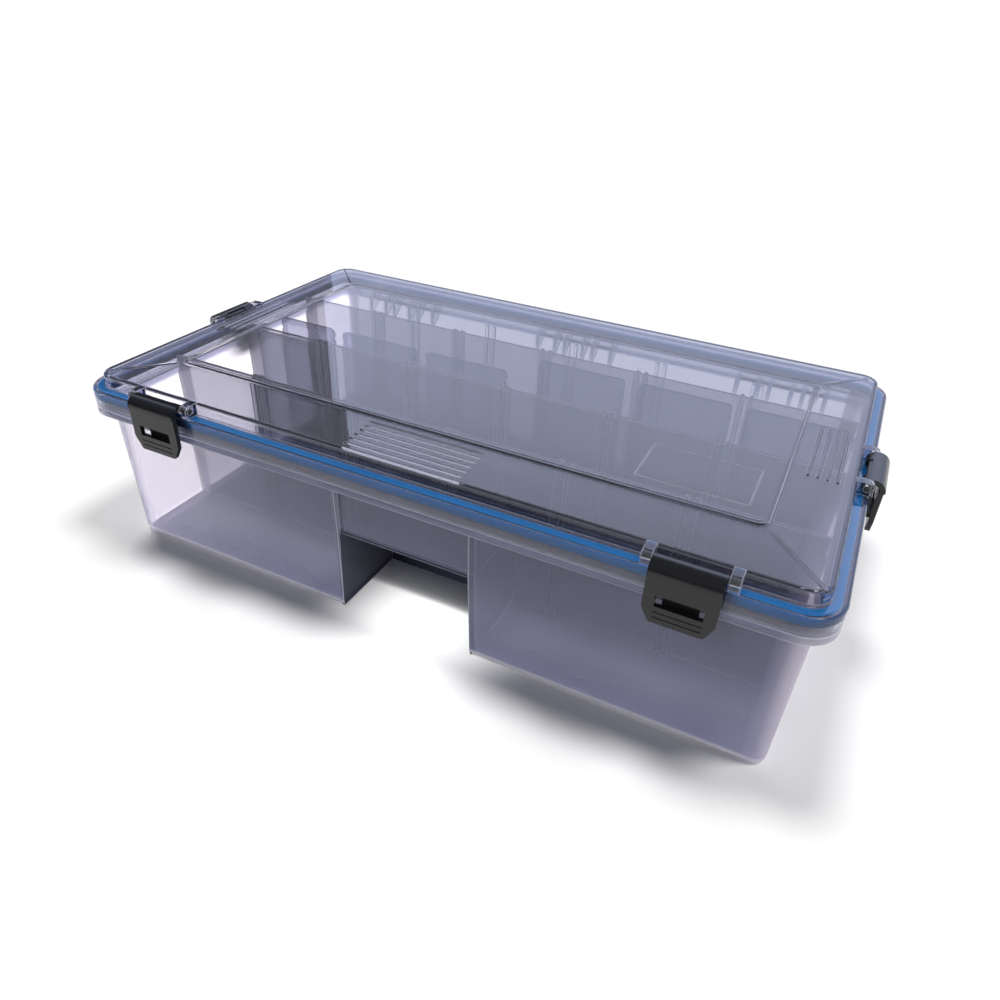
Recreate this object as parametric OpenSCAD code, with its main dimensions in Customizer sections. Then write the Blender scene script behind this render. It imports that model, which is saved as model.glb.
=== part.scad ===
// Tackle box: a translucent tub with rows of slots, a clear sealed lid, four latches
// and loose divider plates.
// Frame: origin at the middle of the underside, X to the right, Y to the back, Z up; millimetres.

/* [Box] */
// Length over the lid flange
lid_l = 356; // [330:1:390]
// Width over the lid flange
lid_w = 216; // [200:1:240]
// Corner radius of the flange in plan
corner_r = 15; // [13.5:0.5:18]
// Height of the joint line, the top of the base lip
part_z = 78; // [70:1:90]

/* [Base] */
// Wall thickness of the tub
wall = 2.2; // [1.6:0.1:2.6]
// Floor thickness
floor_t = 2; // [1.6:0.1:3]
// Inward lean of each wall from lip to floor
draft = 2; // [0.5:0.1:2.4]
// Height of the lip
lip_h = 3.4; // [3:0.1:4.5]
// Height of the bevel round the underside
edge = 2; // [0.5:0.1:3]
// How far the lip stands out from the body
lip_out = 7.2; // [6.8:0.1:8]
// Thickness of the sealing upstand on the lip
upstand_t = 1.8; // [1.2:0.1:2.2]

/* [Front recess] */
// Width of the recess at the floor
recess_w = 70; // [50:1:85]
// Height of the recess
recess_h = 44; // [30:1:50]
// Inward lean of each recess side
recess_draft = 1; // [0.4:0.1:1.5]
// Set-back of the wall above the recess
recess_back = 3; // [1:0.1:4]

/* [Rows] */
// Distance between the inner walls
row_pitch = 54.6; // [50:0.1:56]
// Thickness of the inner walls
row_t = 2; // [1.6:0.1:2.6]
// Height of the inner walls above the joint line
row_up = 7; // [2:0.5:8]
// Distance between slots along the rows
slot_pitch = 56.5; // [50:0.5:58]
// Slots on each side of the middle one
slot_side = 2; // [1:1:2]
// Width of a slot rib
rib_w = 2.2; // [1.6:0.1:2.6]
// How far a slot rib stands out
rib_d = 1.8; // [1.2:0.1:2]
// Free width between the ribs of a pair
rib_gap = 2.4; // [2.2:0.1:3]
// Height of the bumps on the inner walls' ribs
bump_h = 1.5; // [0.8:0.1:1.5]

/* [Lid] */
// Thickness of the lid
lid_t = 2.2; // [1.8:0.1:2.4]
// Height of the skirt, from the joint line to the flange top
skirt_h = 9.8; // [9.4:0.1:12]
// Rounding of the flange's outer edge
flange_round = 2; // [1:0.1:2.1]
// Inset of the plateau from the flange's outer face
plateau_in = 6.1; // [5.8:0.1:6.6]
// Height of the plateau above the flange
plateau_h = 5.8; // [5.2:0.1:7]
// Rounding of the plateau's upper edge
plateau_round = 1.6; // [1:0.1:3]
// Rise of the hipped border from its edge to the panel
border_rise = 0.8; // [0.4:0.1:1.2]
// Width of the border beside each long edge of the panel
border_front = 29.15; // [27:0.05:40]
// Width of the border at each end of the panel
border_end = 26.9; // [24:0.1:40]
// Corner radius of the inner panel
panel_r = 5; // [3:0.5:8]
// Rise of the inner panel above the border
panel_rise = 0.5; // [0.3:0.1:1.2]
// Width of the sloping flank round the inner panel
panel_flank = 1.1; // [0.6:0.1:2]
// Length of the label frame on the panel
label_l = 47; // [30:1:60]
// Width of the label frame
label_w = 30; // [20:1:40]
// Distance of the label frame from the right edge of the panel
label_in = 9; // [6:0.5:20]
// Distance of the label frame from the front edge of the panel
label_up = 10.8; // [6:0.2:20]
// Width of the line round the label frame
label_line = 0.6; // [0.4:0.1:1]
// Depth of the line round the label frame
label_deep = 0.2; // [0.1:0.05:0.3]
// Radius of the grip ribs
grip_r = 1.1; // [0.8:0.1:1.4]
// Height of the grip ribs above the border
grip_up = 0.5; // [0.2:0.05:0.6]
// Length of the end grip ribs
grip_end_l = 51.6; // [40:0.2:70]
// Length of the front grip ribs
grip_front_l = 58.4; // [40:0.2:80]
// Distance between grip ribs
grip_pitch = 4; // [3.4:0.1:4.4]

/* [Gasket] */
// Width of the gasket
gasket_w = 3.6; // [3.2:0.1:3.8]
// Height of the gasket
gasket_h = 4; // [3:0.1:4.4]

/* [Latches] */
// Width of a latch
latch_w = 27; // [24:0.5:32]
// Distance of the front latches from the ends of the flange
latch_in = 53; // [44:1:90]
// Thickness of the latch plate
latch_t = 2.2; // [1.8:0.1:2.6]
// Free space between the lid's skirt and the latch plate
latch_gap = 2.8; // [2.4:0.1:3.2]
// Length of the finger tab below the lip
latch_tab = 7.3; // [6:0.1:10]
// Width of the window
window_w = 18; // [14:0.5:20]
// Height of the window
window_h = 5; // [4:0.1:6]
// How far the hook reaches under the lip
hook_in = 1.6; // [1:0.1:1.8]
// Thickness of the hook
hook_t = 2.5; // [2:0.1:3]
// Thickness of the lid's latch ears
ear_t = 4; // [3:0.1:5]
// Inset of the latch axis from the flange's outer face
pivot_in = 2; // [1.8:0.1:2.2]
// Radius of a latch pin
latch_pin_r = 1.4; // [1.1:0.05:1.5]
// Radius of the latch knuckles
knuckle_r = 2.7; // [2.5:0.1:2.8]
// Radius of the rolled top of a latch
roll_r = 5.4; // [5:0.1:6]

/* [Hinge] */
// Distance of the outer hinge stations from the ends of the flange
hinge_in = 53; // [48:1:90]
// Distance of the hinge axis behind the flange
hinge_out = 4.4; // [4.2:0.1:5]
// Radius of the hinge ears and knuckles
hinge_r = 3.4; // [3:0.1:3.5]
// Radius of a hinge pin
hinge_pin_r = 1.5; // [1.2:0.1:1.6]
// Thickness of a hinge ear
hinge_ear_t = 2; // [1.6:0.1:2.4]
// Distance of the inner ears from a station's middle
ear_a = 6; // [5.5:0.1:6.5]
// Distance of the second ears
ear_b = 12.4; // [11.5:0.1:13]
// Distance of the outer ears
ear_c = 24.2; // [22:0.1:26]
// Height of the gusset under an ear
gusset_h = 11; // [8:0.5:14]

/* [Dividers] */
// Length of a long divider
divider_l = 51; // [44:0.5:51]
// Length of a short divider
divider_s = 39; // [34:0.5:40]
// Height of a divider
divider_h = 79; // [60:0.5:80]
// Thickness of a divider at its edge
divider_t = 1.8; // [1.4:0.1:2]
// Depth of the hollow in each face of a divider
divider_in = 0.3; // [0.1:0.05:0.4]
// Width of a divider's edge band
divider_band = 3; // [2:0.1:4]
// Corner radius of a divider
divider_r = 3; // [2:0.1:4]
// Space between the dividers that stand in a row
stand_gap = 6.6; // [2:0.1:8]
// Space between the dividers stored along an inner wall
stored_gap = 7.5; // [2:0.1:8]

/* [Fits] */
// Radial clearance of a running fit
fit = 0.05; // [0.02:0.01:0.1]
// Space between neighbours that move past each other
gap = 0.3; // [0.25:0.01:0.4]

/* [Hidden] */
$fn = 64;
bite = 1;
far = 60;
half_l = lid_l / 2;
half_w = lid_w / 2;
corner_x = half_l - corner_r;
corner_y = half_w - corner_r;
body_r = corner_r - lip_out;
foot_r = body_r - draft;
inner_r = body_r - wall;
hollow_r = inner_r - draft;
lip_z = part_z - lip_h;
ledge_z = lip_z + wall;
flange_z = part_z + skirt_h;
under_z = flange_z - lid_t;
plateau_z = flange_z + plateau_h;
border_z = plateau_z + border_rise;
panel_z = border_z + panel_rise;
plateau_r = corner_r - plateau_in;
panel_l = 2 * (corner_x + plateau_r - border_end);
panel_w = 2 * (corner_y + plateau_r - border_front);
ceiling_z = plateau_z - lid_t;
gasket_o = lid_t + gasket_w;
gasket_z = under_z - gasket_h;
rim_z = part_z + gap;
channel_z = gasket_z + gasket_h / 4;
row_z = part_z + row_up;
row_front = row_pitch + row_t / 2;
inner_x = corner_x + inner_r;
slot_x = (rib_gap + rib_w) / 2;
recess_y = -row_front;
body_y = corner_y + body_r;
foot_y = corner_y + foot_r;
recess_top_w = recess_w - 2 * recess_draft;
inner_y = corner_y + inner_r;
lean = draft / lip_z;
pivot_z = flange_z + knuckle_r + gap;
ear_r = knuckle_r + gap / 3;
arm_z = pivot_z + knuckle_r;
plate_o = latch_gap + latch_t;
barrel_o = plate_o + gap * 2;
tab_z = lip_z - latch_tab;
hook_z = lip_z - gap;
window_z = lip_z + gap;
hook_w = window_w - 2 * latch_t;
web_t = latch_t / 2;
chamfer = latch_w / 8;
lug_w = latch_w / 4;
ear_at = latch_w / 2 + gap + ear_t / 2;
latch_pin_l = latch_w + 2 * gap + 2 * ear_t;
latch_x = half_l - latch_in;
hinge_x = half_l - hinge_in;
hinge_y = half_w + hinge_out;
hinge_xs = [-hinge_x, 0, hinge_x];
ear_xs = [-ear_c, -ear_b, -ear_a, ear_a, ear_b, ear_c];
hinge_pin_l = 2 * ear_c + hinge_ear_t;
lug_in_w = 2 * ear_a - hinge_ear_t - 2 * gap;
lug_out_w = ear_c - ear_b - hinge_ear_t - 2 * gap;
lug_out_x = (ear_c + ear_b) / 2;
stand_y = row_pitch / 2;
stored_y = row_pitch - row_t / 2 - rib_d - divider_t / 2 - gap;
near_y = row_t / 2 + rib_d + divider_t / 2 + gap;
long_end_x = inner_x - draft - divider_l / 2 - gap;
short_end_x = inner_x - draft - divider_s / 2 - 4 * gap;
stand_x = -short_end_x + (divider_s + divider_l) / 2 + stand_gap;
stand_pitch = divider_l + stand_gap;
stored_pitch = divider_l + stored_gap;

// Extrudes a Y-Z outline along X, centred
module along_x(len) {
    rotate([90, 0, 90])
        translate([0, 0, -len / 2])
            linear_extrude(len)
                children();
}

// Extrudes an X-Z outline along Y, centred
module along_y(len) {
    rotate([90, 0, 0])
        translate([0, 0, -len / 2])
            linear_extrude(len)
                children();
}

// Rectangle from one corner to the other
module span(a, b) {
    translate(a)
        square([b[0] - a[0], b[1] - a[1]]);
}

// Plan of the box at a given corner radius, all round the same corner centres
module plan(r) {
    square([2 * corner_x, 2 * (corner_y + r)], center = true);
    square([2 * (corner_x + r), 2 * corner_y], center = true);
    for (sx = [-1, 1], sy = [-1, 1])
        translate([sx * corner_x, sy * corner_y])
            circle(r);
}

// Slab with the plan of the box
module slab(r, z0, z1) {
    translate([0, 0, z0])
        linear_extrude(z1 - z0)
            plan(r);
}

// Sweeps a (distance from the corner centre, height) outline round corner centres at +-cx, +-cy
module ring(cx = corner_x, cy = corner_y) {
    for (s = [0, 180])
        rotate([0, 0, s]) {
            translate([0, cy, 0])
                along_x(2 * cx)
                    children();
            translate([cx, 0, 0])
                rotate([0, 0, -90])
                    along_x(2 * cy)
                        children();
            translate([cx, cy, 0])
                rotate_extrude(angle = 90)
                    children();
            translate([-cx, cy, 0])
                rotate([0, 0, 90])
                    rotate_extrude(angle = 90)
                        children();
        }
}

// Outline of the leaning wall with the edge of the floor
module wall_outline() {
    polygon([
        [hollow_r - bite, 0], [foot_r - edge * 0.6, 0], [foot_r + edge * lean, edge],
        [foot_r + ledge_z * lean, ledge_z], [hollow_r + ledge_z * lean, ledge_z],
        [hollow_r + floor_t * lean, floor_t], [hollow_r - bite, floor_t]
    ]);
}

// Space in front of and below the middle compartment, and its walls when grown:
// from y0 below and y1 above to the back, up to a given height
module recess_space(grow, y0, y1, top) {
    translate([0, (y0 + recess_y + grow) / 2, 0])
        along_y(recess_y + grow - y0)
            polygon([
                [-recess_w / 2 - grow, grow ? 0 : -bite], [recess_w / 2 + grow, grow ? 0 : -bite],
                [recess_top_w / 2 + grow, recess_h + grow], [-recess_top_w / 2 - grow, recess_h + grow]
            ]);
    translate([-recess_top_w / 2 - grow, y1, recess_h + grow - bite])
        cube([recess_top_w + 2 * grow, recess_back + grow - body_y - y1, top - recess_h - grow + bite]);
}

// Shell of the tub: leaning walls, floor and the stepped front
module tub_shell() {
    difference() {
        union() {
            ring()
                wall_outline();
            slab(hollow_r - bite / 2, 0, floor_t);
            recess_space(wall, -foot_y + wall / 4, -body_y + draft * 0.7, ledge_z);
        }
        recess_space(0, -half_w, -half_w, lip_z);
    }
    ring() {
        span([inner_r - gap, lip_z], [corner_r, part_z]);
        translate([corner_r - lid_t - gasket_w / 2 - upstand_t / 2, part_z - bite])
            square([upstand_t, gasket_z - gap - part_z + bite]);
    }
}

// Pair of slot ribs at the origin, from z0 to z1, standing from y0 to y1
module rib_pair(y0, y1, z0, z1) {
    for (s = [-1, 1])
        translate([s * slot_x - rib_w / 2, y0, z0])
            cube([rib_w, y1 - y0, z1 - z0]);
}

// Rounded bumps on top of a pair of ribs
module bumps() {
    for (s = [-1, 1])
        translate([s * slot_x, 0, row_z])
            cylinder(h = bump_h, r1 = rib_w / 2, r2 = rib_w / 4);
}

// Outline of an inner wall: its ends lean with the tub up to the lip
module row_outline() {
    polygon([
        [-inner_x - wall / 2 + draft, floor_t - bite], [inner_x + wall / 2 - draft, floor_t - bite],
        [inner_x + wall / 2, lip_z], [inner_x + wall / 2, ledge_z - bite / 2],
        [inner_x - bite, ledge_z - bite / 2], [inner_x - bite, row_z],
        [-inner_x + bite, row_z], [-inner_x + bite, ledge_z - bite / 2],
        [-inner_x - wall / 2, ledge_z - bite / 2], [-inner_x - wall / 2, lip_z]
    ]);
}

// Full-length inner walls with their slots
module rows() {
    for (r = [-1, 0, 1])
        translate([0, r * row_pitch, 0]) {
            along_y(row_t)
                row_outline();
            for (i = [-slot_side : slot_side])
                translate([i * slot_pitch, 0, 0]) {
                    rib_pair(-row_t / 2 - rib_d, row_t / 2 + rib_d, rib_foot(r, i), row_z);
                    bumps();
                }
        }
}

// Height of a rib's foot: the front row steps up over the recess
function rib_foot(r, i) = (r == -1 && i == 0) ? recess_h + bite : floor_t - bite;

// Outline of a rib on the back wall, leaning with it
module wall_rib_outline() {
    polygon([
        [inner_y - draft - rib_d, floor_t - bite], [inner_y - draft + wall / 2, floor_t - bite],
        [inner_y + wall / 2, lip_z], [inner_y - rib_d, lip_z]
    ]);
}

// Slots on the back wall
module wall_slots() {
    for (i = [-slot_side : slot_side], s = [-1, 1])
        translate([i * slot_pitch + s * slot_x, 0, 0])
            along_x(rib_w)
                wall_rib_outline();
}

// Outline of a hinge ear with its gusset, in Y and Z
module ear_outline() {
    translate([hinge_y, part_z])
        circle(hinge_r);
    polygon([
        [body_y - bite - draft, lip_z - gusset_h], [body_y - draft / 2, lip_z - gusset_h],
        [hinge_y + hinge_r * 0.8, part_z - hinge_r * 0.6], [hinge_y, part_z],
        [half_w - bite, part_z - gap], [body_y - bite - draft, part_z - gap]
    ]);
}

// Ears of the three hinge stations
module hinge_ears() {
    for (x = hinge_xs, e = ear_xs)
        translate([x + e, 0, 0])
            along_x(hinge_ear_t)
                ear_outline();
}

// Pins or bores along the hinge axis
module hinge_rod(r, len) {
    translate([0, hinge_y, part_z])
        rotate([0, 90, 0])
            cylinder(h = len, r = r, center = true);
}

module base_tub() {
    color([0.45, 0.46, 0.52, 0.6])
    difference() {
        union() {
            tub_shell();
            rows();
            wall_slots();
            hinge_ears();
        }
        for (x = hinge_xs)
            translate([x, 0, 0])
                hinge_rod(hinge_pin_r + fit, hinge_pin_l + 2 * bite);
    }
}

module gasket() {
    color([0.12, 0.42, 0.75])
    ring()
        span([corner_r - gasket_o, gasket_z], [corner_r - lid_t, under_z]);
}

// Outline of the skirt, flange, channel rib and plateau wall
module lid_outline() {
    span([corner_r - lid_t, rim_z], [corner_r, flange_z - flange_round]);
    span([plateau_r - lid_t, under_z], [corner_r - flange_round, flange_z]);
    translate([corner_r - flange_round, flange_z - flange_round])
        intersection() {
            circle(flange_round);
            square(flange_round);
        }
    span([corner_r - lid_t, under_z], [corner_r, flange_z - flange_round]);
    span([plateau_r - lid_t, channel_z], [corner_r - gasket_o, flange_z]);
    span([plateau_r - lid_t, under_z], [plateau_r, plateau_z - plateau_round]);
    span([plateau_r - plateau_round - bite, ceiling_z], [plateau_r - plateau_round, plateau_z]);
    translate([plateau_r - plateau_round, plateau_z - plateau_round])
        intersection() {
            circle(plateau_round);
            square(plateau_round);
        }
}

// Block with a hipped top, its outer edge at a radius and a height, rising to the edge of the panel
module hipped(r, z, foot) {
    intersection() {
        slab(r, foot, z + border_rise);
        along_x(lid_l)
            polygon([
                [-corner_y - r, foot], [corner_y + r, foot], [corner_y + r, z], [panel_w / 2, z + border_rise],
                [-panel_w / 2, z + border_rise], [-corner_y - r, z]
            ]);
        along_y(lid_w)
            polygon([
                [-corner_x - r, foot], [corner_x + r, foot], [corner_x + r, z], [panel_l / 2, z + border_rise],
                [-panel_l / 2, z + border_rise], [-corner_x - r, z]
            ]);
    }
}

// Top of the lid: hipped border and raised panel
module lid_top() {
    hipped(plateau_r - plateau_round, plateau_z, ceiling_z);
    panel_step(border_z, border_z - bite);
}

// Raised step with sloping flanks, from a base height up by the rise of the panel
module panel_step(z, foot) {
    cx = panel_l / 2 - panel_r;
    cy = panel_w / 2 - panel_r;
    ring(cx, cy)
        polygon([
            [0, foot], [panel_r, foot], [panel_r, z],
            [panel_r - panel_flank, z + panel_rise], [0, z + panel_rise]
        ]);
    translate([-cx, -cy, foot])
        cube([2 * cx, 2 * cy, z + panel_rise - foot]);
}

// Shallow line round the label place near the front right corner of the panel
module label_frame() {
    x0 = panel_l / 2 - label_in - label_l;
    y0 = label_up - panel_w / 2;
    translate([x0, y0, panel_z - label_deep])
        difference() {
            cube([label_l, label_w, bite]);
            translate([label_line, label_line, -bite])
                cube([label_l - 2 * label_line, label_w - 2 * label_line, 3 * bite]);
        }
}

// Sunk grip rib along X with tapered ends
module grip(len) {
    rotate([0, 90, 0])
        cylinder(h = len - 2 * grip_r, r = grip_r, center = true);
    for (s = [-1, 1])
        translate([s * (len / 2 - grip_r), 0, 0])
            rotate([0, s * 90, 0])
                cylinder(h = grip_r, r1 = grip_r, r2 = grip_r / 3);
}

// Height of a grip rib's axis at a distance from the panel, on a border of a given width
function grip_z(d, width) = plateau_z + border_rise * (1 - d / width) + grip_up - grip_r;

// Grip ribs on the front and both ends of the border
module grips() {
    for (i = [-2.5 : 2.5]) {
        d = border_front / 2 + i * grip_pitch;
        translate([0, -panel_w / 2 - d, grip_z(d, border_front - plateau_round)])
            grip(grip_front_l);
    }
    for (s = [-1, 1], i = [-1.5 : 1.5]) {
        d = border_end / 2 + i * grip_pitch;
        translate([s * (panel_l / 2 + d), 0, grip_z(d, border_end - plateau_round)])
            rotate([0, 0, 90])
                grip(grip_end_l);
    }
}

// Puts a front-facing piece on the middle of each edge that carries a latch
module at_front(x) {
    translate([x, -half_w, 0])
        children();
}

module at_end(s) {
    translate([s * half_l, 0, 0])
        rotate([0, 0, s * 90])
            children();
}

// Pair of ears at the front edge; outward is -Y
module latch_ears() {
    for (s = [-1, 1])
        translate([s * ear_at, 0, 0])
            along_x(ear_t) {
                translate([pivot_in, pivot_z])
                    circle(ear_r);
                span([pivot_in, flange_z - bite], [plateau_in + lid_t / 2, pivot_z + ear_r]);
                span([pivot_in - ear_r * 0.6, flange_z - bite], [pivot_in + bite, pivot_z]);
            }
}

// Pin or bore along a latch axis
module latch_rod(r, len) {
    translate([0, pivot_in, pivot_z])
        rotate([0, 90, 0])
            cylinder(h = len, r = r, center = true);
}

// Hinge knuckle of the lid, in Y and Z
module lug_outline() {
    translate([hinge_y, part_z])
        circle(hinge_r);
    polygon([
        [half_w - bite, rim_z], [hinge_y, rim_z],
        [hinge_y, part_z + hinge_r], [half_w - bite, under_z]
    ]);
}

module hinge_lugs() {
    for (x = hinge_xs)
        translate([x, 0, 0]) {
            along_x(lug_in_w)
                lug_outline();
            for (s = [-1, 1])
                translate([s * lug_out_x, 0, 0])
                    along_x(lug_out_w)
                        lug_outline();
        }
}

module lid() {
    color([0.55, 0.56, 0.62, 0.45])
    difference() {
        union() {
            ring()
                lid_outline();
            lid_top();
            grips();
            hinge_lugs();
            at_front(-latch_x)
                latch_ears();
            at_front(latch_x)
                latch_ears();
            at_end(-1)
                latch_ears();
            at_end(1)
                latch_ears();
        }
        hipped(plateau_r - lid_t, ceiling_z, ceiling_z - bite);
        panel_step(border_z - lid_t, border_z - lid_t - bite);
        label_frame();
        for (x = hinge_xs)
            translate([x, 0, 0])
                hinge_rod(hinge_pin_r + fit, hinge_pin_l + 2 * bite);
        at_front(-latch_x)
            latch_rod(latch_pin_r + fit, latch_pin_l + 2 * bite);
        at_front(latch_x)
            latch_rod(latch_pin_r + fit, latch_pin_l + 2 * bite);
        at_end(-1)
            latch_rod(latch_pin_r + fit, latch_pin_l + 2 * bite);
        at_end(1)
            latch_rod(latch_pin_r + fit, latch_pin_l + 2 * bite);
    }
}

// Round outline of the rolled top of a latch
module roll_outline(r) {
    translate([-barrel_o + roll_r, arm_z - roll_r])
        circle(r);
}

// Side outline of a latch: rolled top as far as the pin, and the plate
module latch_side() {
    intersection() {
        difference() {
            roll_outline(roll_r);
            roll_outline(roll_r - latch_t);
        }
        span([-barrel_o, arm_z - roll_r], [pivot_in, arm_z]);
    }
    span([-plate_o, tab_z], [-latch_gap, arm_z - roll_r + gap]);
}

// Front outline of a latch with its chamfered tab
module latch_front() {
    polygon([
        [-latch_w / 2, arm_z], [-latch_w / 2, lip_z - chamfer / 3], [-latch_w / 2 + chamfer, tab_z],
        [latch_w / 2 - chamfer, tab_z], [latch_w / 2, lip_z - chamfer / 3], [latch_w / 2, arm_z]
    ]);
}

// Latch in the front position; outward is -Y
module latch() {
    difference() {
        union() {
            intersection() {
                along_x(latch_w)
                    latch_side();
                along_y(far)
                    latch_front();
            }
            for (s = [-1, 1])
                translate([s * (latch_w - lug_w) / 2, 0, 0])
                    along_x(lug_w)
                        intersection() {
                            roll_outline(roll_r);
                            translate([pivot_in, pivot_z])
                                circle(knuckle_r);
                        }
            along_x(hook_w) {
                span([-latch_gap - latch_t / 2, hook_z - hook_t], [hook_in, hook_z]);
                span([-2 * gap - web_t, hook_z - hook_t], [-2 * gap, window_z + window_h + bite]);
            }
            for (i = [1, 2])
                translate([0, -plate_o, lip_z - i * latch_tab / 3])
                    rotate([0, 90, 0])
                        cylinder(h = window_w, r = gap, center = true);
        }
        translate([-window_w / 2, -plate_o - bite, window_z])
            cube([window_w, latch_t + bite, window_h]);
        latch_rod(latch_pin_r + fit, latch_pin_l);
    }
}

module latch_front_left() {
    color([0.1, 0.1, 0.11])
    at_front(-latch_x)
        latch();
}

module latch_front_right() {
    color([0.1, 0.1, 0.11])
    at_front(latch_x)
        latch();
}

module latch_left() {
    color([0.1, 0.1, 0.11])
    at_end(-1)
        latch();
}

module latch_right() {
    color([0.1, 0.1, 0.11])
    at_end(1)
        latch();
}

module pin_front_left() {
    color([0.16, 0.16, 0.17])
    at_front(-latch_x)
        latch_rod(latch_pin_r, latch_pin_l);
}

module pin_front_right() {
    color([0.16, 0.16, 0.17])
    at_front(latch_x)
        latch_rod(latch_pin_r, latch_pin_l);
}

module pin_left() {
    color([0.16, 0.16, 0.17])
    at_end(-1)
        latch_rod(latch_pin_r, latch_pin_l);
}

module pin_right() {
    color([0.16, 0.16, 0.17])
    at_end(1)
        latch_rod(latch_pin_r, latch_pin_l);
}

module hinge_pin_left() {
    color([0.7, 0.7, 0.72])
    translate([-hinge_x, 0, 0])
        hinge_rod(hinge_pin_r, hinge_pin_l);
}

module hinge_pin_middle() {
    color([0.7, 0.7, 0.72])
    hinge_rod(hinge_pin_r, hinge_pin_l);
}

module hinge_pin_right() {
    color([0.7, 0.7, 0.72])
    translate([hinge_x, 0, 0])
        hinge_rod(hinge_pin_r, hinge_pin_l);
}

// Upright rounded outline from the floor up, inset all round
module divider_outline(len, inset) {
    r = divider_r - inset / 2;
    w = len / 2 - inset;
    top = divider_h - inset;
    span([-w, inset], [w, top - r]);
    span([-w + r, inset], [w - r, top]);
    for (s = [-1, 1])
        translate([s * (w - r), top - r])
            circle(r);
}

// Divider plate with an edge band, hollow faces and a hook notch near each upper corner
module divider(len) {
    translate([0, 0, floor_t])
    difference() {
        along_y(divider_t)
            divider_outline(len, 0);
        for (s = [-1, 1]) {
            translate([0, s * (divider_t / 2 + bite / 2 - divider_in), 0])
                along_y(bite)
                    divider_outline(len, divider_band);
            translate([s * len / 2, 0, divider_h - 2 * divider_r])
                rotate([90, 0, 0])
                    cylinder(h = 2 * divider_t, r = divider_r / 3, center = true);
        }
    }
}

module divider_1() {
    color([0.4, 0.41, 0.48, 0.6])
    translate([-short_end_x + divider_r, near_y, 0])
        divider(divider_s);
}

module divider_2() {
    color([0.4, 0.41, 0.48, 0.6])
    translate([-short_end_x, stand_y, 0])
        divider(divider_s);
}

module divider_3() {
    color([0.4, 0.41, 0.48, 0.6])
    translate([stand_x, stand_y, 0])
        divider(divider_l);
}

module divider_4() {
    color([0.4, 0.41, 0.48, 0.6])
    translate([stand_x + stand_pitch, stand_y, 0])
        divider(divider_l);
}

module divider_5() {
    color([0.4, 0.41, 0.48, 0.6])
    translate([long_end_x - 2 * stored_pitch, stored_y, 0])
        divider(divider_l);
}

module divider_6() {
    color([0.4, 0.41, 0.48, 0.6])
    translate([long_end_x - stored_pitch, stored_y, 0])
        divider(divider_l);
}

module divider_7() {
    color([0.4, 0.41, 0.48, 0.6])
    translate([long_end_x, stored_y, 0])
        divider(divider_l);
}

base_tub();
gasket();
lid();
latch_front_left();
latch_front_right();
latch_left();
latch_right();
pin_front_left();
pin_front_right();
pin_left();
pin_right();
hinge_pin_left();
hinge_pin_middle();
hinge_pin_right();
divider_1();
divider_2();
divider_3();
divider_4();
divider_5();
divider_6();
divider_7();
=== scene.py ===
"""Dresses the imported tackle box: see-through smoky plastics, a blue seal and satin black latches."""
from collections import namedtuple
from math import tau

import bmesh
import bpy
from mathutils import Matrix, Vector

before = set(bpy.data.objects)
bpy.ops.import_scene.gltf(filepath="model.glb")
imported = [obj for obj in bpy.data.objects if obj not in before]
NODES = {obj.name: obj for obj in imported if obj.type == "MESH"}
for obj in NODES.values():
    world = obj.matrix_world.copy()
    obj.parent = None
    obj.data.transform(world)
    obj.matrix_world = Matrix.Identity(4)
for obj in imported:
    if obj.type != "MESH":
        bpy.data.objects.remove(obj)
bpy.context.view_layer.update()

scene = bpy.context.scene
scene.view_settings.view_transform = "Standard"
scene.cycles.transparent_max_bounces = 40
scene.cycles.max_bounces = 32
scene.cycles.transmission_bounces = 32
scene.cycles.caustics_refractive = False
scene.cycles.caustics_reflective = False

# Places on the lid, in metres
PANEL_X = 0.1450  # half length of the raised panel
PANEL_Y = 0.07275  # half width of the panel
PANEL_R = 0.005  # corner radius of the panel
PANEL_Z = 0.0932  # lines are drawn in full above this height
PANEL_FADE = 0.0004  # height over which the lines fade in
LINE_IN = 0.0006  # distance of the double line inside the panel's edge
LINE_PITCH = 0.0022  # length of one wave across the double line
LINE_RISE = 0.00014  # height of the lines
HIP_ALONG = (0.676, 0.737)  # direction of the hips, seen from above
HIP_HALF = 0.0014  # half width of a hip
HIP_START = (0.001, 0.005)  # a hip fades in between these distances past the panel's corner
HIP_RISE = 0.0002  # height of the hips
SKIRT_Z = (0.0825, 0.0805)  # the skirt turns hazy between these heights

# Places on the tub, in metres
WALL_FRONT_Y = -0.095  # the front wall lies in front of this
WALL_BACK_Y = (0.088, 0.090)  # from the last row to the back wall
ROWS_X = 0.160  # half length of the rows
END_X = (0.158, 0.167)  # from the rows to the end walls
END_LEAN = 0.0268  # outward lean of the end walls
END_INNER = 0.1645  # just inside the left end wall's inner face, at the foot
END_MIDDLE = 0.1677  # between the left end wall's two faces, at the foot
RECESS_X = 0.0362  # half width of the front recess
RECESS_Y = (-0.0985, -0.050)  # front and back of the recess
RECESS_Z = 0.0455  # top of the recess
FLOOR_TOP = 0.0035  # just above the tub's floor
FLOOR_ROW_Y = -0.052  # back of the first row
FACE_Z = 0.004  # foot of the front wall's face
FOOT_Z = (0.055, 0.005)  # the walls are painted paler between these heights, painted light for the floor's bounce
BASE_Z = (0.0045, 0.0015)  # the underside turns hazy between these heights

# Ranges and scales of the noises, which change slowly over a surface
UNIT = (0.0, 1.0)
CLOUD = (0.3, 0.7)  # range of a noise that is spread over a share or a roughness
CLOUD_DETAIL = 4.0
HAZE_SCALE = 9.0
GLOSS_SCALE = 30.0
MOTTLE_SCALE = 25.0
HAZE_LOW = 0.9  # the haze's darkest colour, as a part of its own
GLOW_LOW = 0.94  # the glow's darkest colour, as a part of its own

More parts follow.
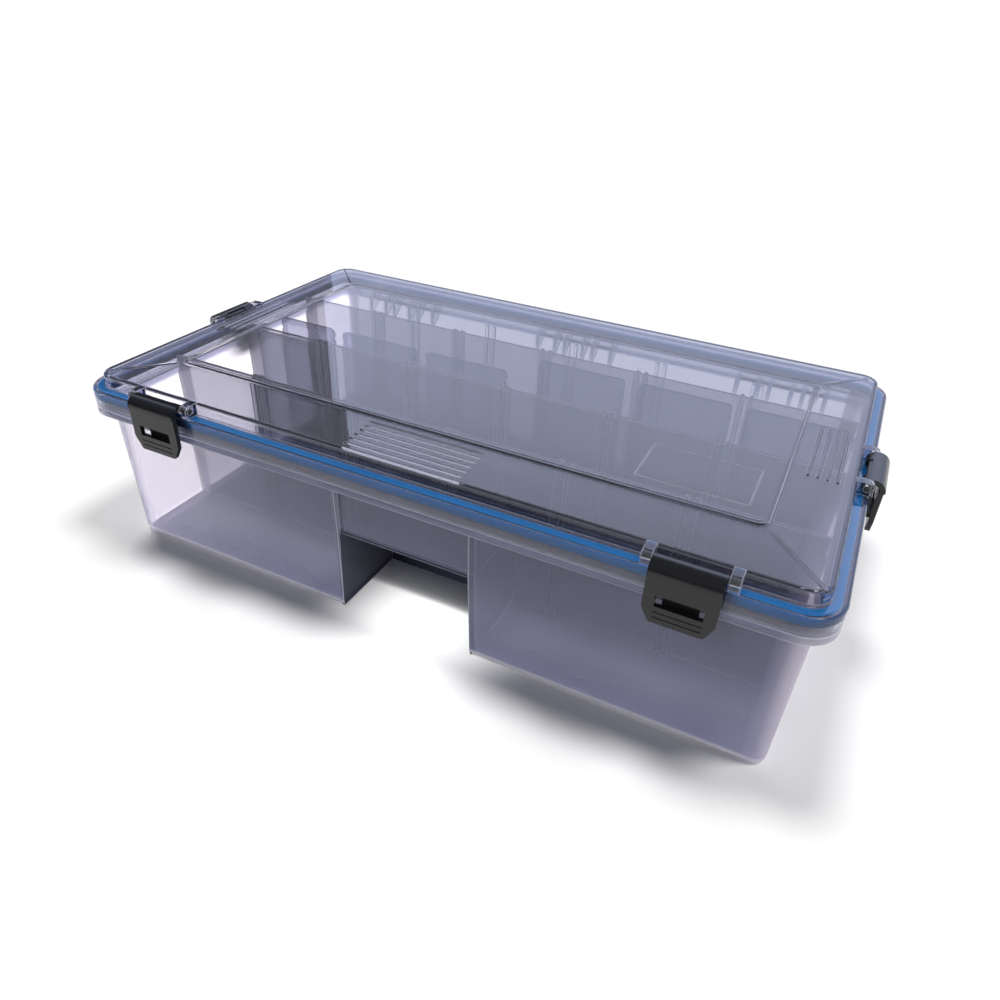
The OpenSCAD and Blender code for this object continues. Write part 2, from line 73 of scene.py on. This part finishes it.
# Smoky plastics. Haze shares and roughness are lowest and highest values.
PLASTIC_IOR = 1.49
# rim is the share of the painted highlight along sharp edges
Smoke = namedtuple("Smoke", "soak density haze glow haze_share glow_share rough shadow tint rim",
                   defaults=((1.0, 1.0, 1.0), 0.0))
LID = Smoke(soak=(0.07, 0.10, 0.38), density=95.0, haze=(0.30, 0.31, 0.38), glow=(0.6, 0.6, 0.68),
            haze_share=(0.02, 0.035), glow_share=0.4, rough=(0.015, 0.03), shadow=(0.78, 0.78, 0.76),
            tint=(0.85, 0.855, 0.90), rim=0.6)
TUB = Smoke(soak=(0.07, 0.10, 0.36), density=150.0, haze=(0.23, 0.245, 0.40), glow=(0.85, 0.80, 0.84),
            haze_share=(0.44, 0.50), glow_share=0.5, rough=(0.04, 0.06), shadow=(0.56, 0.56, 0.53), rim=0.7)
DIVIDER = Smoke(soak=(0.07, 0.10, 0.36), density=600.0, haze=(0.28, 0.29, 0.36), glow=(0.6, 0.6, 0.68),
                haze_share=(0.06, 0.09), glow_share=0.5, rough=(0.04, 0.06), shadow=(0.9, 0.9, 0.9))

# How the haze differs from place to place on the lid and the tub. The paler haze at the tub's foot, on its
# first floor and at its ends is painted light; the darker haze on its rows and in its recess is painted
# shade.
SKIRT_SHARE = 0.25
# Painted light: the haze at the tub's foot is twice as bright, for the floor's bounce
FOOT_HAZE_PAINTED_LIGHT = 2.0
BASE_SHARE = 0.3
# Painted shade: the haze and glow of the rows inside the box are painted darker
ROWS_HAZE_PAINTED_SHADE = 0.55
ROWS_GLOW_PAINTED_SHADE = 0.45
ROWS_SHARE = (0.62, 0.2)  # what is left on the inner walls, and on the back wall
FACE_SHARE = 0.7
# Painted light: the floor of the first row is painted pale, as if the white ground below shone through
FIRST_FLOOR_PAINTED_LIGHT = (0.85, 0.85, 0.92)
# Painted shade: the recess walls are painted darker and hazier
RECESS_HAZE_PAINTED_SHADE = 0.25
RECESS_GLOW_PAINTED_SHADE = 0.05
RECESS_SHADE_SHARE = 0.6
END_SHARE = 0.3
END_OUTER_SHARE = 0.25
# Painted light: the end walls' haze is painted paler, for the light that shines through them; their extra
# haze share is frosting
END_HAZE_PAINTED_LIGHT = (0.44, 0.43, 0.53)
END_GLOW_COLOUR = (0.84, 0.79, 0.76)

# Painted highlights: thin pale lines along sharp moulded edges
RIM_RADIUS = 0.0006
RIM_SAMPLES = 4
RIM_TURN = (0.985, 0.85)  # cosine of the turn at which a line starts, and at which it is full
RIM_HIGHLIGHT_COLOUR = (0.72, 0.75, 0.86)
RIM_GLOW_SHARE = 0.4

# Specks of dust
DUST_SCALE = 95.0
DUST_FROM = 0.45  # part of the cells that stay clean
DUST_SIZE = 0.03  # radius of the largest speck, in cells
DUST_SHARE = 0.5
DUST_COLOUR = (0.85, 0.86, 0.9)

# Colour sockets of the mix node
MIX_A = 6
MIX_B = 7
MIX_RESULT = 2


# Small helpers for shader trees

def tree_of(name):
    mat = bpy.data.materials.new(name)
    mat.use_nodes = True
    nt = mat.node_tree
    nt.nodes.clear()
    return mat, nt


def add(nt, kind, **settings):
    node = nt.nodes.new(kind)
    for key, value in settings.items():
        setattr(node, key, value)
    return node


def link(nt, a, b):
    nt.links.new(a, b)


def feed(nt, socket, value):
    """Gives a socket a number, a colour or another node's result."""
    if isinstance(value, tuple):
        socket.default_value = (*value, 1.0)
    elif isinstance(value, float):
        socket.default_value = value
    else:
        link(nt, value, socket)


def coords(nt):
    return add(nt, "ShaderNodeTexCoord").outputs["Object"]


def axes(nt):
    node = add(nt, "ShaderNodeSeparateXYZ")
    link(nt, coords(nt), node.inputs[0])
    return tuple(node.outputs)


def noise(nt, scale, detail=3.0):
    node = add(nt, "ShaderNodeTexNoise")
    node.inputs["Scale"].default_value = scale
    node.inputs["Detail"].default_value = detail
    node.inputs["Roughness"].default_value = 0.5
    link(nt, coords(nt), node.inputs["Vector"])
    return node.outputs["Fac"]


def ramp(nt, value, span, result=UNIT):
    """Spreads a value linearly from one span to another, and holds it at both ends."""
    node = add(nt, "ShaderNodeMapRange")
    node.inputs["From Min"].default_value = span[0]
    node.inputs["From Max"].default_value = span[1]
    node.inputs["To Min"].default_value = result[0]
    node.inputs["To Max"].default_value = result[1]
    link(nt, value, node.inputs["Value"])
    return node.outputs["Result"]


def mix_colour(nt, share, a, b):
    node = add(nt, "ShaderNodeMix", data_type="RGBA")
    link(nt, share, node.inputs["Factor"])
    feed(nt, node.inputs[MIX_A], a)
    feed(nt, node.inputs[MIX_B], b)
    return node.outputs[MIX_RESULT]


def calc(nt, operation, *values):
    node = add(nt, "ShaderNodeMath", operation=operation)
    for socket, value in zip(node.inputs, values):
        feed(nt, socket, value)
    return node.outputs[0]


def product(nt, first, *others):
    for other in others:
        first = calc(nt, "MULTIPLY", first, other)
    return first


def above(nt, value, limit):
    return calc(nt, "GREATER_THAN", value, limit)


def below(nt, value, limit):
    return calc(nt, "LESS_THAN", value, limit)


def mix_shader(nt, share, a, b):
    node = add(nt, "ShaderNodeMixShader")
    feed(nt, node.inputs[0], share)
    link(nt, a, node.inputs[1])
    link(nt, b, node.inputs[2])
    return node.outputs[0]


def coloured(nt, kind, colour):
    node = add(nt, kind)
    feed(nt, node.inputs["Color"], colour)
    return node.outputs[0]


def output(nt, shader):
    out = add(nt, "ShaderNodeOutputMaterial")
    link(nt, shader, out.inputs["Surface"])
    return out


def bump(nt, height, distance):
    node = add(nt, "ShaderNodeBump")
    node.inputs["Distance"].default_value = distance
    link(nt, height, node.inputs["Height"])
    return node.outputs["Normal"]


def scaled(colour, by):
    return tuple(c * by for c in colour)


# Smoky plastics

def clear_body(nt, smoke):
    """Refracting body with slow changes of gloss."""
    body = add(nt, "ShaderNodeBsdfPrincipled")
    body.inputs["Base Color"].default_value = (*smoke.tint, 1.0)
    body.inputs["Transmission Weight"].default_value = 1.0
    body.inputs["IOR"].default_value = PLASTIC_IOR
    link(nt, ramp(nt, noise(nt, GLOSS_SCALE), CLOUD, smoke.rough), body.inputs["Roughness"])
    return body


def haze(nt, smoke):
    """Colours of the haze, lit from the front and from behind, and its share of the surface."""
    cloud = noise(nt, HAZE_SCALE, CLOUD_DETAIL)
    front = mix_colour(nt, cloud, scaled(smoke.haze, HAZE_LOW), smoke.haze)
    behind = mix_colour(nt, cloud, scaled(smoke.glow, GLOW_LOW), smoke.glow)
    return front, behind, ramp(nt, cloud, CLOUD, smoke.haze_share)


def milk(nt, front, behind, glow_share):
    """Milky shader that scatters light back and lets some of it glow through."""
    body = coloured(nt, "ShaderNodeBsdfDiffuse", front)
    back = coloured(nt, "ShaderNodeBsdfTranslucent", behind)
    return mix_shader(nt, glow_share, body, back)


def painted_edge_highlights(nt, smoke, shader):
    """Adds painted highlights: thin pale lines along the sharp edges of the moulding."""
    rounded = add(nt, "ShaderNodeBevel", samples=RIM_SAMPLES)
    rounded.inputs["Radius"].default_value = RIM_RADIUS
    turned = add(nt, "ShaderNodeVectorMath", operation="DOT_PRODUCT")
    link(nt, rounded.outputs["Normal"], turned.inputs[0])
    link(nt, add(nt, "ShaderNodeNewGeometry").outputs["Normal"], turned.inputs[1])
    share = product(nt, ramp(nt, turned.outputs["Value"], RIM_TURN), smoke.rim)
    return mix_shader(nt, share, shader, milk(nt, RIM_HIGHLIGHT_COLOUR, RIM_HIGHLIGHT_COLOUR, RIM_GLOW_SHARE))


def dusty(nt, shader):
    """Adds specks of dust, of many sizes."""
    cells = add(nt, "ShaderNodeTexVoronoi")
    cells.inputs["Scale"].default_value = DUST_SCALE
    link(nt, coords(nt), cells.inputs["Vector"])
    pick = add(nt, "ShaderNodeSeparateXYZ")
    link(nt, cells.outputs["Color"], pick.inputs[0])
    size = ramp(nt, pick.outputs["X"], (DUST_FROM, 1.0), (0.0, DUST_SIZE))
    share = product(nt, below(nt, cells.outputs["Distance"], size), DUST_SHARE)
    return mix_shader(nt, share, shader, coloured(nt, "ShaderNodeBsdfDiffuse", DUST_COLOUR))


def finish_smoky(nt, smoke, shader):
    """Lets lamps shine through and soaks up light inside the plastic."""
    path = add(nt, "ShaderNodeLightPath")
    lamp_through = coloured(nt, "ShaderNodeBsdfTransparent", smoke.shadow)
    out = output(nt, mix_shader(nt, path.outputs["Is Shadow Ray"], shader, lamp_through))
    soaked = add(nt, "ShaderNodeVolumeAbsorption")
    soaked.inputs["Color"].default_value = (*smoke.soak, 1.0)
    soaked.inputs["Density"].default_value = smoke.density
    link(nt, soaked.outputs[0], out.inputs["Volume"])


def double_line(nt, past_x, past_y):
    """Height of the fine double line that follows the panel's rounded outline."""
    corner_x = calc(nt, "ADD", past_x, PANEL_R)
    corner_y = calc(nt, "ADD", past_y, PANEL_R)
    round_x = calc(nt, "MAXIMUM", corner_x, 0.0)
    round_y = calc(nt, "MAXIMUM", corner_y, 0.0)
    squares = calc(nt, "ADD", product(nt, round_x, round_x), product(nt, round_y, round_y))
    inside = calc(nt, "MINIMUM", calc(nt, "MAXIMUM", corner_x, corner_y), 0.0)
    distance = calc(nt, "ADD", calc(nt, "SQRT", squares), inside)
    off = calc(nt, "SUBTRACT", distance, PANEL_R - LINE_IN)
    near = ramp(nt, calc(nt, "ABSOLUTE", off), (LINE_PITCH, LINE_PITCH / 2))
    wave = calc(nt, "COSINE", product(nt, off, tau / LINE_PITCH))
    return product(nt, wave, near, LINE_RISE)


def hips(nt, past_x, past_y):
    """Height of the low ridges that run outward from the panel's corners."""
    along_x, along_y = HIP_ALONG
    across = calc(nt, "SUBTRACT", product(nt, past_x, along_y), product(nt, past_y, along_x))
    ahead = ramp(nt, calc(nt, "ADD", past_x, past_y), HIP_START)
    ridge = ramp(nt, calc(nt, "ABSOLUTE", across), (HIP_HALF, 0.0), (0.0, HIP_RISE))
    ridge.node.interpolation_type = "SMOOTHSTEP"
    return product(nt, ridge, ahead)


def panel_lines(nt):
    """Height of the lines and hips on top of the lid."""
    x, y, z = axes(nt)
    past_x = calc(nt, "SUBTRACT", calc(nt, "ABSOLUTE", x), PANEL_X)
    past_y = calc(nt, "SUBTRACT", calc(nt, "ABSOLUTE", y), PANEL_Y)
    lines = calc(nt, "ADD", double_line(nt, past_x, past_y), hips(nt, past_x, past_y))
    return product(nt, lines, ramp(nt, z, (PANEL_Z - PANEL_FADE, PANEL_Z)))


def lid_plastic():
    """Clear smoked lid with fine lines, painted edge highlights and specks of dust."""
    mat, nt = tree_of("lid_clear_smoke")
    z = axes(nt)[2]
    front, behind, share = haze(nt, LID)
    share = calc(nt, "ADD", share, ramp(nt, z, SKIRT_Z, (0.0, SKIRT_SHARE)))
    body = clear_body(nt, LID)
    link(nt, bump(nt, panel_lines(nt), 1.0), body.inputs["Normal"])
    shader = mix_shader(nt, share, body.outputs[0], milk(nt, front, behind, LID.glow_share))
    finish_smoky(nt, LID, painted_edge_highlights(nt, LID, dusty(nt, shader)))
    return mat


Regions = namedtuple("Regions", "foot base rows back first_floor face recess ends left_inner left_outer")


def tub_regions(nt):
    """Masks of the tub's regions, 1 inside a region and 0 outside it."""
    x, y, z = axes(nt)
    far = calc(nt, "ABSOLUTE", x)
    left = calc(nt, "SUBTRACT", product(nt, x, -1.0), product(nt, z, END_LEAN))
    left_outer = above(nt, left, END_MIDDLE)
    recess_xz = product(nt, below(nt, far, RECESS_X), below(nt, z, RECESS_Z))
    return Regions(
        foot=ramp(nt, z, FOOT_Z),
        base=ramp(nt, z, BASE_Z),
        rows=product(nt, below(nt, far, ROWS_X), above(nt, y, WALL_FRONT_Y)),
        back=ramp(nt, y, WALL_BACK_Y),
        first_floor=product(nt, below(nt, y, FLOOR_ROW_Y), below(nt, z, FLOOR_TOP)),
        face=product(nt, below(nt, y, WALL_FRONT_Y), above(nt, z, FACE_Z)),
        recess=product(nt, recess_xz, above(nt, y, RECESS_Y[0]), below(nt, y, RECESS_Y[1])),
        ends=ramp(nt, far, END_X),
        left_inner=calc(nt, "SUBTRACT", above(nt, left, END_INNER), left_outer),
        left_outer=left_outer)


def tub_colours(nt, on, front, behind):
    """Paints light and shade into the haze of each region of the tub, each one over those before it:
    painted light at the foot, on the first floor and at the ends, painted shade on the rows and in the
    recess.
    """
    # painted light at the foot, on the first floor and at the ends; painted shade on the rows and in the
    # recess
    for mask, colour in ((on.foot, scaled(TUB.haze, FOOT_HAZE_PAINTED_LIGHT)), (on.rows, scaled(TUB.haze, ROWS_HAZE_PAINTED_SHADE)),
                         (on.first_floor, FIRST_FLOOR_PAINTED_LIGHT), (on.recess, scaled(TUB.haze, RECESS_HAZE_PAINTED_SHADE)),
                         (on.ends, END_HAZE_PAINTED_LIGHT)):
        front = mix_colour(nt, mask, front, colour)
    # painted shade in the glow of the rows and the recess
    for mask, colour in ((on.rows, scaled(TUB.glow, ROWS_GLOW_PAINTED_SHADE)), (on.left_inner, END_GLOW_COLOUR),
                         (on.recess, scaled(TUB.glow, RECESS_GLOW_PAINTED_SHADE))):
        behind = mix_colour(nt, mask, behind, colour)
    return front, behind


def tub_share(nt, on, share):
    """Thins or thickens the haze of each region of the tub."""
    cleared = product(nt, on.rows, calc(nt, "SUBTRACT", 1.0, ramp(nt, on.back, UNIT, ROWS_SHARE)))
    share = product(nt, share, calc(nt, "SUBTRACT", 1.0, cleared))
    share = product(nt, share, ramp(nt, on.face, UNIT, (1.0, FACE_SHARE)))
    # painted shade: more of the darkened haze shows in the recess
    share = calc(nt, "ADD", share, product(nt, on.recess, RECESS_SHADE_SHARE))
    share = calc(nt, "ADD", share, product(nt, on.ends, END_SHARE))
    share = product(nt, share, ramp(nt, on.left_outer, UNIT, (1.0, END_OUTER_SHARE)))
    return calc(nt, "ADD", share, product(nt, on.base, BASE_SHARE))


def tub_plastic():
    """Smoky tub: painted paler at its foot, first floor and ends (painted light), clearer but painted
    darker on its inner walls and back (painted shade), painted dark in its recess (painted shade).
    """
    mat, nt = tree_of("tub_smoke")
    on = tub_regions(nt)
    front, behind, share = haze(nt, TUB)
    front, behind = tub_colours(nt, on, front, behind)
    glow_share = calc(nt, "MAXIMUM", on.left_inner, TUB.glow_share)
    body = clear_body(nt, TUB).outputs[0]
    shader = mix_shader(nt, tub_share(nt, on, share), body, milk(nt, front, behind, glow_share))
    finish_smoky(nt, TUB, painted_edge_highlights(nt, TUB, shader))
    return mat


def divider_plastic():
    """Smoky plate that soaks up more light than the tub."""
    mat, nt = tree_of("divider_smoke")
    front, behind, share = haze(nt, DIVIDER)
    body = clear_body(nt, DIVIDER).outputs[0]
    finish_smoky(nt, DIVIDER, mix_shader(nt, share, body, milk(nt, front, behind, DIVIDER.glow_share)))
    return mat


# Opaque finishes

def solid(name, low, high, rough, grain, depth):
    """Surface with a fine grain and slow changes of colour and gloss."""
    mat, nt = tree_of(name)
    surface = add(nt, "ShaderNodeBsdfPrincipled")
    cloud = noise(nt, MOTTLE_SCALE, CLOUD_DETAIL)
    link(nt, mix_colour(nt, cloud, low, high), surface.inputs["Base Color"])
    link(nt, ramp(nt, cloud, CLOUD, rough), surface.inputs["Roughness"])
    link(nt, bump(nt, noise(nt, grain), depth), surface.inputs["Normal"])
    output(nt, surface.outputs[0])
    return mat, surface.inputs


def blue_rubber():
    """Soft blue seal that light enters a little way."""
    mat, inputs = solid("gasket_blue_rubber", low=(0.008, 0.215, 0.56), high=(0.014, 0.26, 0.63),
                        rough=(0.45, 0.6), grain=1500.0, depth=0.00003)
    inputs["Subsurface Weight"].default_value = 0.8
    inputs["Subsurface Radius"].default_value = (1.0, 1.0, 1.0)
    inputs["Subsurface Scale"].default_value = 0.004
    return mat


def black_satin():
    """Satin black of the latches."""
    mat, inputs = solid("latch_black_satin", low=(0.004, 0.004, 0.005), high=(0.007, 0.007, 0.008),
                        rough=(0.18, 0.25), grain=2500.0, depth=0.00001)
    inputs["Specular IOR Level"].default_value = 0.42
    return mat


def black_pin():
    """Black of the latch pins."""
    mat, _ = solid("pin_black", low=(0.02, 0.02, 0.022), high=(0.03, 0.03, 0.032),
                   rough=(0.3, 0.4), grain=2500.0, depth=0.00001)
    return mat


def pin_steel():
    """Steel of the hinge pins."""
    mat, inputs = solid("hinge_pin_steel", low=(0.55, 0.55, 0.56), high=(0.62, 0.62, 0.63),
                        rough=(0.25, 0.35), grain=3000.0, depth=0.00001)
    inputs["Metallic"].default_value = 1.0
    return mat


# Finish and edge rounding of each kind of node, by the start of its name
LOOKS = {"lid": lid_plastic(), "base_tub": tub_plastic(), "divider": divider_plastic(),
         "gasket": blue_rubber(), "latch": black_satin(), "pin": black_pin(), "hinge": pin_steel()}
ROUNDING = {"gasket": 0.0006, "latch": 0.00045, "pin": 0.0002, "hinge": 0.0002}
ROUND_ANGLE = 0.6  # edges that turn by more than this are rounded, in radians
ROUND_STEPS = 2
WELD_DISTANCE = 0.000002
SEAL_SWELL = 0.00012


def round_edges(obj, width):
    weld = obj.modifiers.new("weld", "WELD")
    weld.merge_threshold = WELD_DISTANCE
    bevel = obj.modifiers.new("round", "BEVEL")
    bevel.width = width
    bevel.segments = ROUND_STEPS
    bevel.limit_method = "ANGLE"
    bevel.angle_limit = ROUND_ANGLE
    bevel.use_clamp_overlap = True


def swell_seal(obj):
    """Moves the seal's skin outward by half of its swell."""
    seat = obj.modifiers.new("seat", "DISPLACE")
    seat.strength = SEAL_SWELL
    seat.mid_level = 0.5


def smooth_normals(obj):
    normals = obj.modifiers.new("normals", "WEIGHTED_NORMAL")
    normals.keep_sharp = False


for name, obj in NODES.items():
    kind = next(start for start in LOOKS if name.startswith(start))
    for slot in obj.material_slots:
        slot.link = "OBJECT"
        slot.material = LOOKS[kind]
    if kind in ROUNDING:
        round_edges(obj, ROUNDING[kind])
        if kind == "gasket":
            swell_seal(obj)
        smooth_normals(obj)


# Floor and screen

def plain_surface(name, mesh, material, low, high, scale):
    """Places a plain surface of the studio, with a slight change of tone."""
    mat, nt = tree_of(material)
    tone = mix_colour(nt, noise(nt, scale), low, high)
    output(nt, coloured(nt, "ShaderNodeBsdfDiffuse", tone))
    mesh.materials.append(mat)
    obj = bpy.data.objects.new(name, mesh)
    scene.collection.objects.link(obj)
    return obj


FLOOR_HALF = 60.0
FLOOR_CELLS = 40
FLOOR_Z = -0.0004  # just clear of the box's underside
floor_grid = bmesh.new()
bmesh.ops.create_grid(floor_grid, x_segments=FLOOR_CELLS, y_segments=FLOOR_CELLS, size=FLOOR_HALF)
floor_mesh = bpy.data.meshes.new("floor")
floor_grid.to_mesh(floor_mesh)
floor_grid.free()
floor = plain_surface("floor", floor_mesh, "floor_white",
                      low=(0.97, 0.97, 0.97), high=(0.985, 0.985, 0.985), scale=3.0)
floor.location.z = FLOOR_Z

# A dark screen that only reflections see keeps the left of the lid clear of glare
SCREEN_LEFT = -6.0
SCREEN_RIGHT = -1.31
SCREEN_Y = 1.5
SCREEN_LOW = -0.2
SCREEN_HIGH = 3.0
screen_corners = [(SCREEN_LEFT, SCREEN_Y, SCREEN_LOW), (SCREEN_RIGHT, SCREEN_Y, SCREEN_LOW),
                  (SCREEN_RIGHT, SCREEN_Y, SCREEN_HIGH), (SCREEN_LEFT, SCREEN_Y, SCREEN_HIGH)]
screen_mesh = bpy.data.meshes.new("dark_screen")
screen_mesh.from_pydata(screen_corners, [], [(0, 1, 2, 3)])
screen = plain_surface("dark_screen", screen_mesh, "screen_grey",
                       low=(0.05, 0.05, 0.06), high=(0.07, 0.07, 0.08), scale=2.0)
screen.visible_camera = False
screen.visible_diffuse = False
screen.visible_shadow = False
screen.visible_transmission = False

# World: white to the camera and through the plastics, a soft bright band at the back for reflections
WHITE = (1.0, 1.0, 1.0)
BAND_Z = (0.85, 0.55)
BAND_Y = (-0.1, 0.3)
BAND_COLOUR = (0.66, 0.735, 1.0)
GLOOM_COLOUR = (0.06, 0.065, 0.08)
BRIGHTEN_Z = (0.25, 0.6)
BAND_STRENGTH = (1.1, 3.1)
FILL_STRENGTH = 0.15


def background(nt, colour, strength):
    node = add(nt, "ShaderNodeBackground")
    feed(nt, node.inputs["Color"], colour)
    feed(nt, node.inputs["Strength"], strength)
    return node.outputs[0]


def studio_world():
    world = bpy.data.worlds.new("studio")
    world.use_nodes = True
    nt = world.node_tree
    nt.nodes.clear()
    toward = add(nt, "ShaderNodeSeparateXYZ")
    link(nt, add(nt, "ShaderNodeTexCoord").outputs["Generated"], toward.inputs[0])
    _, y, z = toward.outputs
    band = product(nt, ramp(nt, z, BAND_Z), ramp(nt, y, BAND_Y))
    glare_colour = mix_colour(nt, band, GLOOM_COLOUR, BAND_COLOUR)
    glare = background(nt, glare_colour, ramp(nt, z, BRIGHTEN_Z, BAND_STRENGTH))
    fill = background(nt, WHITE, FILL_STRENGTH)
    white = background(nt, WHITE, 1.0)
    path = add(nt, "ShaderNodeLightPath")
    seen = calc(nt, "MAXIMUM", path.outputs["Is Camera Ray"], path.outputs["Is Transmission Ray"])
    lit = mix_shader(nt, path.outputs["Is Glossy Ray"], fill, glare)
    out = add(nt, "ShaderNodeOutputWorld")
    link(nt, mix_shader(nt, seen, lit, white), out.inputs["Surface"])
    return world


scene.world = studio_world()


# Lamps

def lamp(name, kind, place, target, energy, colour=WHITE):
    data = bpy.data.lights.new(name, kind)
    data.energy = energy
    data.color = colour
    obj = bpy.data.objects.new(name, data)
    obj.location = place
    aim = Vector(target) - Vector(place)
    obj.rotation_euler = aim.to_track_quat("-Z", "Y").to_euler()
    scene.collection.objects.link(obj)
    return obj


def sun(name, place, energy, angle):
    """A soft sun that shines from its place toward the middle, and isn't mirrored in the box."""
    obj = lamp(name, "SUN", place, (0.0, 0.0, 0.0), energy)
    obj.data.angle = angle
    obj.visible_glossy = False
    obj.visible_transmission = False
    return obj


def light_box(name, place, target, energy, size, colour):
    """A lit rectangle that isn't seen itself."""
    obj = lamp(name, "AREA", place, target, energy, colour)
    obj.data.shape = "RECTANGLE"
    obj.data.size, obj.data.size_y = size
    obj.visible_camera = False
    obj.visible_glossy = False
    obj.visible_transmission = False
    return obj


def reach(obj, state, *receivers):
    """Lets a lamp reach only the receivers (INCLUDE) or all but the receivers (EXCLUDE)."""
    group = bpy.data.collections.new(obj.name + "_reach")
    for i, receiver in enumerate(receivers):
        group.objects.link(receiver)
        group.collection_objects[i].light_linking.link_state = state
    obj.light_linking.receiver_collection = group


for side, x in (("right", 0.85), ("left", -0.46)):
    sun("sky_" + side, place=(x, 0.24, 2.0), energy=1.5, angle=0.24)
front_fill = sun("front_fill", place=(-0.35, -0.75, 0.56), energy=1.8, angle=0.6)
reach(front_fill, "EXCLUDE", floor)

# Low boxes that light the end walls from outside
left_box = light_box("left_box", place=(-0.48, 0.0, 0.05), target=(-0.17, 0.0, 0.04), energy=8.0,
                     size=(0.3, 0.1), colour=(1.0, 0.97, 0.94))
right_box = light_box("right_box", place=(1.1, -0.2, 0.16), target=(0.17, 0.0, 0.03), energy=12.0,
                      size=(0.5, 0.2), colour=(1.0, 0.93, 0.86))
for end_box in (left_box, right_box):
    reach(end_box, "EXCLUDE", floor, NODES["gasket"])

# A soft spot that keeps the floor in the front recess pale
notch_fill = lamp("notch_fill", "SPOT", place=(0.0, -0.37, 0.55), target=(0.006, -0.091, 0.0), energy=19.0)
notch_fill.data.spot_size = 0.16
notch_fill.data.spot_blend = 1.0
notch_fill.data.shadow_soft_size = 0.02
reach(notch_fill, "INCLUDE", floor)

# Camera at the photograph's viewing angle
IMAGE_PIXELS = 1000.0
FOCAL_PIXELS = 777.03
SENSOR_WIDTH = 36.0
CLIP_START = 0.01
CAMERA_PLACE = (0.1539, -0.3301, 0.2582)
CAMERA_RIGHT = Vector((0.8953, 0.4436, 0.0403))
CAMERA_DOWN = Vector((0.2753, -0.4799, -0.8330))
CAMERA_LOOK = Vector((-0.3502, 0.7569, -0.5517))
camera_data = bpy.data.cameras.new("camera")
camera_data.sensor_width = SENSOR_WIDTH
camera_data.lens = FOCAL_PIXELS * SENSOR_WIDTH / IMAGE_PIXELS
camera_data.clip_start = CLIP_START
camera = bpy.data.objects.new("camera", camera_data)
camera_turn = Matrix((CAMERA_RIGHT, -CAMERA_DOWN, -CAMERA_LOOK)).transposed().to_4x4()
camera.matrix_world = Matrix.Translation(CAMERA_PLACE) @ camera_turn
scene.collection.objects.link(camera)
scene.camera = camera
